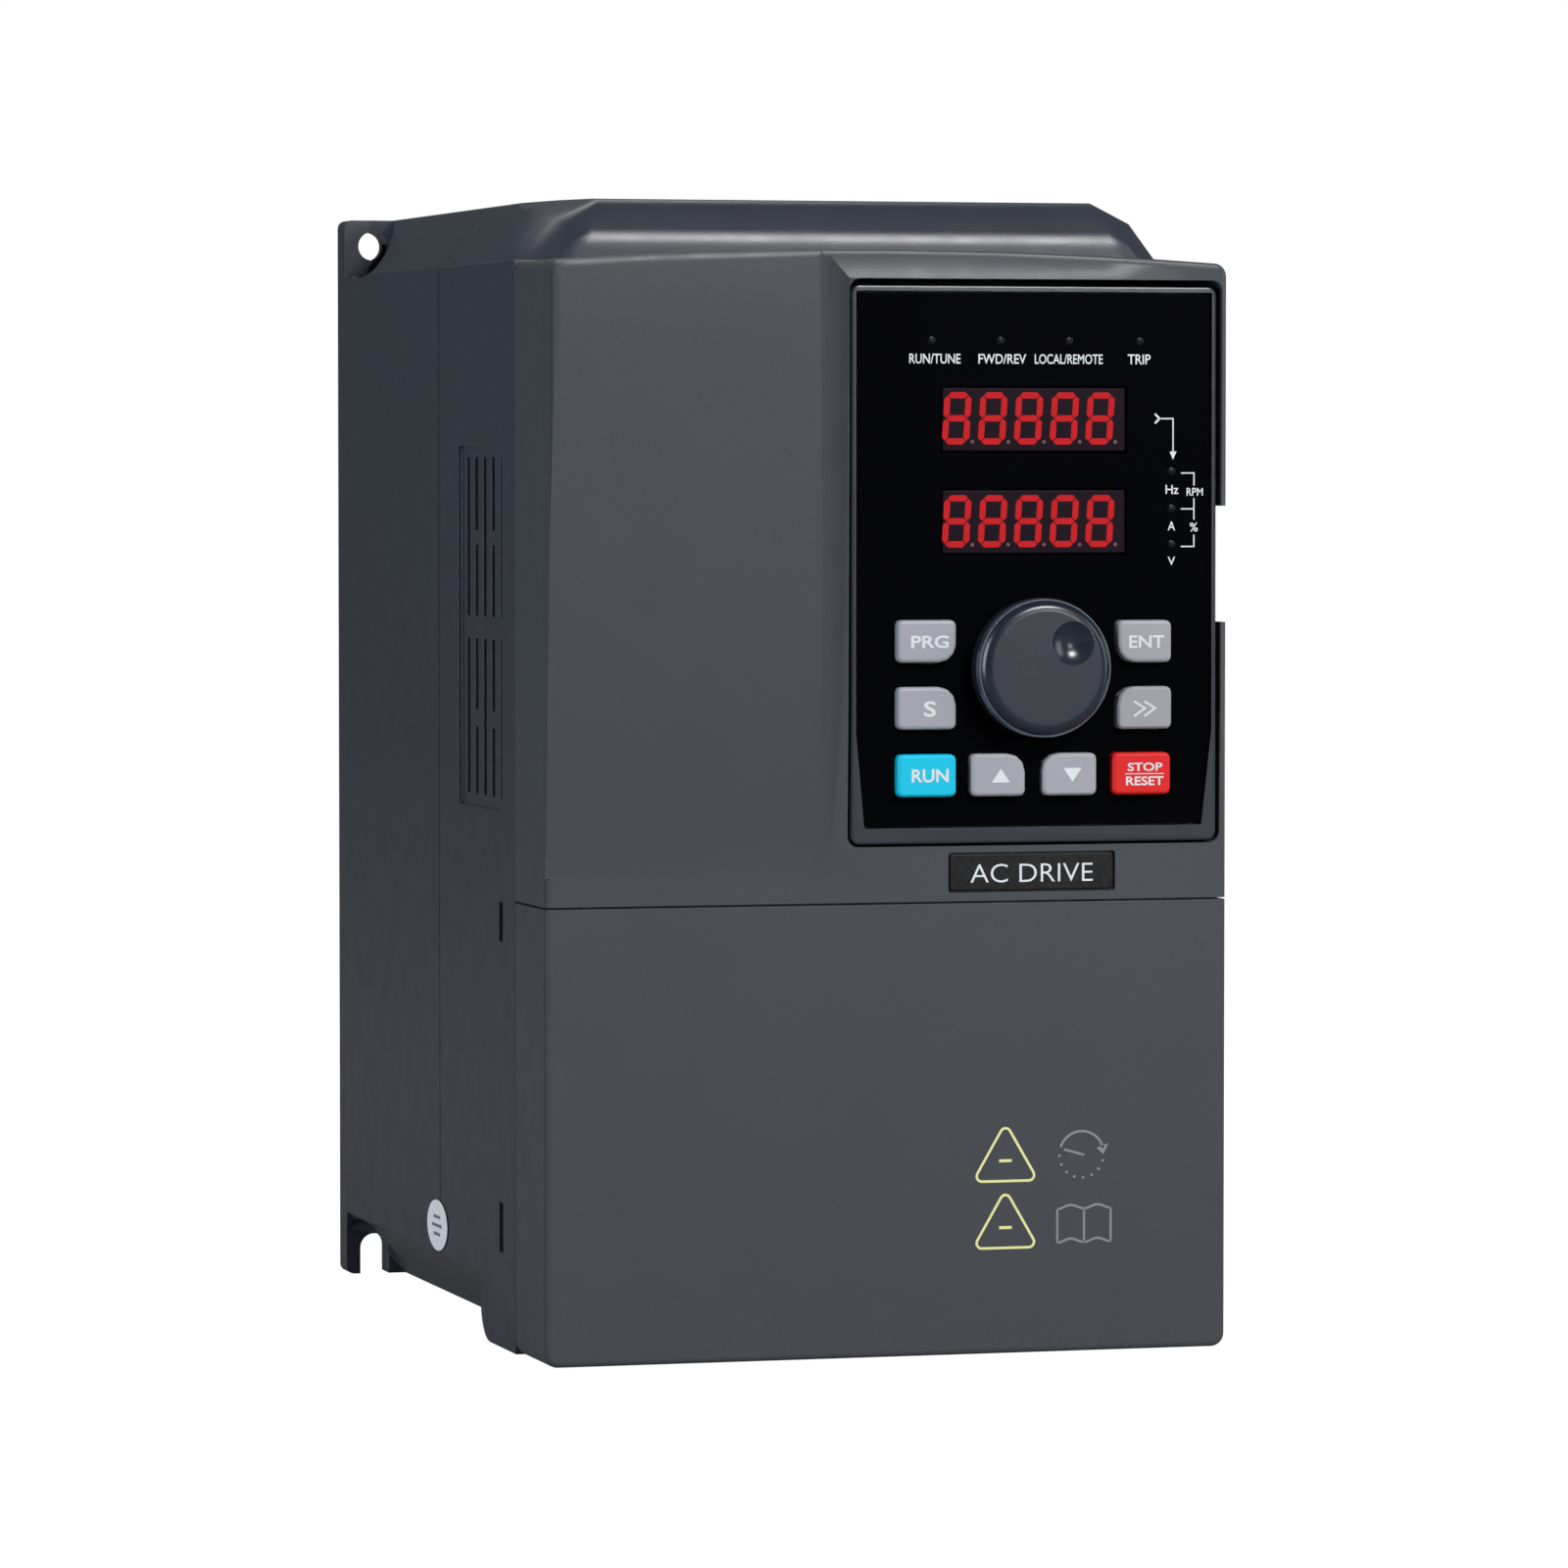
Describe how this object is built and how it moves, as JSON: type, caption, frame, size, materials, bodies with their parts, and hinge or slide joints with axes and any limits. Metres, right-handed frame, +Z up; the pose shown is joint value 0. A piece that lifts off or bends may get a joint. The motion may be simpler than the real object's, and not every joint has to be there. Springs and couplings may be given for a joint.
{
  "type": "variable frequency drive",
  "caption": "Wall-mounted variable frequency drive in a tall plastic case, with a pull-out keypad, twin displays, dial, push keys, wiring cover, finned heatsink and fan.",
  "frame": {"origin": "centre of the four-hole mounting pattern, on the back face", "axes": "+Y out of the back towards the wall, +Z up, +X to the right as seen from the front, which faces -Y"},
  "size_m": [0.1183, 0.1632, 0.193],
  "materials": {
    "case_plastic": "fine moulded texture, satin",
    "cover_plastic": "fine moulded texture, satin",
    "keypad_plastic": "smooth satin",
    "panel_gloss": "high gloss",
    "display_window": "smoked red filter",
    "key_grey": "satin",
    "key_cyan": "satin",
    "key_red": "satin",
    "aluminium": "extruded",
    "zinc_steel": "zinc plated",
    "circuit_board": "solder mask",
    "black_plastic": "moulded",
    "capacitor_sleeve": "shrink sleeve",
    "relay_white": "moulded",
    "terminal_green": "moulded",
    "silicone": "soft",
    "grommet_rubber": "soft",
    "ribbon_grey": "PVC",
    "label_white": "printed label",
    "clear_plastic": "clear"
  },
  "bodies": {
    "case": {"bus_capacitor_1": "capacitor_sleeve", "bus_capacitor_2": "capacitor_sleeve", "cable_grommet_1": "grommet_rubber", "cable_grommet_2": "grommet_rubber", "cable_grommet_3": "grommet_rubber", "case_screw_1": "zinc_steel", "case_screw_2": "zinc_steel", "case_screw_3": "zinc_steel", "case_screw_4": "zinc_steel", "charge_relay": "relay_white", "control_board": "circuit_board", "control_terminal_block": "terminal_green", "earth_bar": "zinc_steel", "earth_screw_1": "zinc_steel", "earth_screw_2": "zinc_steel", "fan_frame": "black_plastic", "front_cover": "cover_plastic", "heatsink": "aluminium", "igbt_module": "black_plastic", "keypad_socket": "black_plastic", "middle_housing": "case_plastic", "nameplate": "panel_gloss", "power_board": "circuit_board", "power_terminal_block": "black_plastic", "processor": "black_plastic", "rear_housing": "case_plastic", "ribbon_cable": "ribbon_grey", "sticker": "label_white", "terminal_screw_1": "zinc_steel", "terminal_screw_2": "zinc_steel", "terminal_screw_3": "zinc_steel", "terminal_screw_4": "zinc_steel", "terminal_screw_5": "zinc_steel", "terminal_screw_6": "zinc_steel", "terminal_screw_7": "zinc_steel", "terminal_screw_8": "zinc_steel", "transformer": "zinc_steel"},
    "terminal_cover": {"terminal_cover": "cover_plastic"},
    "keypad": {"keypad_frame": "keypad_plastic", "keypad_panel": "panel_gloss", "display_upper": "display_window", "display_lower": "display_window", "keypad_board": "circuit_board", "encoder_body": "zinc_steel", "key_mat": "silicone", "keypad_back": "keypad_plastic", "keypad_plug": "clear_plastic"},
    "knob": {"knob": "keypad_plastic", "encoder_shaft": "zinc_steel"},
    "fan_impeller": {"fan_impeller": "black_plastic"},
    "fan_cover": {"fan_cover": "case_plastic"},
    "key_prg": {"key_prg": "key_grey"},
    "key_s": {"key_s": "key_grey"},
    "key_run": {"key_run": "key_cyan"},
    "key_up": {"key_up": "key_grey"},
    "key_down": {"key_down": "key_grey"},
    "key_stop": {"key_stop": "key_red"},
    "key_ent": {"key_ent": "key_grey"},
    "key_shift": {"key_shift": "key_grey"}
  },
  "joints": [
    {"name": "terminal_cover_pull", "type": "slide", "parent": "case", "child": "terminal_cover", "axis": [0, -1, 0], "range_m": [0, 0.05]},
    {"name": "keypad_pull", "type": "slide", "parent": "case", "child": "keypad", "axis": [0, -1, 0], "range_m": [0, 0.05]},
    {"name": "knob_turn", "type": "hinge", "parent": "keypad", "child": "knob", "pos_m": [0.02535, -0.1574, 0.01825], "axis": [0, -1, 0], "continuous": true},
    {"name": "fan_spin", "type": "hinge", "parent": "case", "child": "fan_impeller", "pos_m": [0, -0.033, 0.081], "axis": [0, 0, 1], "continuous": true},
    {"name": "fan_cover_lift", "type": "slide", "parent": "case", "child": "fan_cover", "axis": [0, 0, 1], "range_m": [0, 0.02]},
    {"name": "key_prg_press", "type": "slide", "parent": "keypad", "child": "key_prg", "axis": [0, 1, 0], "range_m": [0, 0.0008], "stiffness_N_per_m": 1000, "springref_m": -0.0003},
    {"name": "key_s_press", "type": "slide", "parent": "keypad", "child": "key_s", "axis": [0, 1, 0], "range_m": [0, 0.0008], "stiffness_N_per_m": 1000, "springref_m": -0.0003},
    {"name": "key_run_press", "type": "slide", "parent": "keypad", "child": "key_run", "axis": [0, 1, 0], "range_m": [0, 0.0008], "stiffness_N_per_m": 1000, "springref_m": -0.0003},
    {"name": "key_up_press", "type": "slide", "parent": "keypad", "child": "key_up", "axis": [0, 1, 0], "range_m": [0, 0.0008], "stiffness_N_per_m": 1000, "springref_m": -0.0003},
    {"name": "key_down_press", "type": "slide", "parent": "keypad", "child": "key_down", "axis": [0, 1, 0], "range_m": [0, 0.0008], "stiffness_N_per_m": 1000, "springref_m": -0.0003},
    {"name": "key_stop_press", "type": "slide", "parent": "keypad", "child": "key_stop", "axis": [0, 1, 0], "range_m": [0, 0.0008], "stiffness_N_per_m": 1000, "springref_m": -0.0003},
    {"name": "key_ent_press", "type": "slide", "parent": "keypad", "child": "key_ent", "axis": [0, 1, 0], "range_m": [0, 0.0008], "stiffness_N_per_m": 1000, "springref_m": -0.0003},
    {"name": "key_shift_press", "type": "slide", "parent": "keypad", "child": "key_shift", "axis": [0, 1, 0], "range_m": [0, 0.0008], "stiffness_N_per_m": 1000, "springref_m": -0.0003}
  ]
}
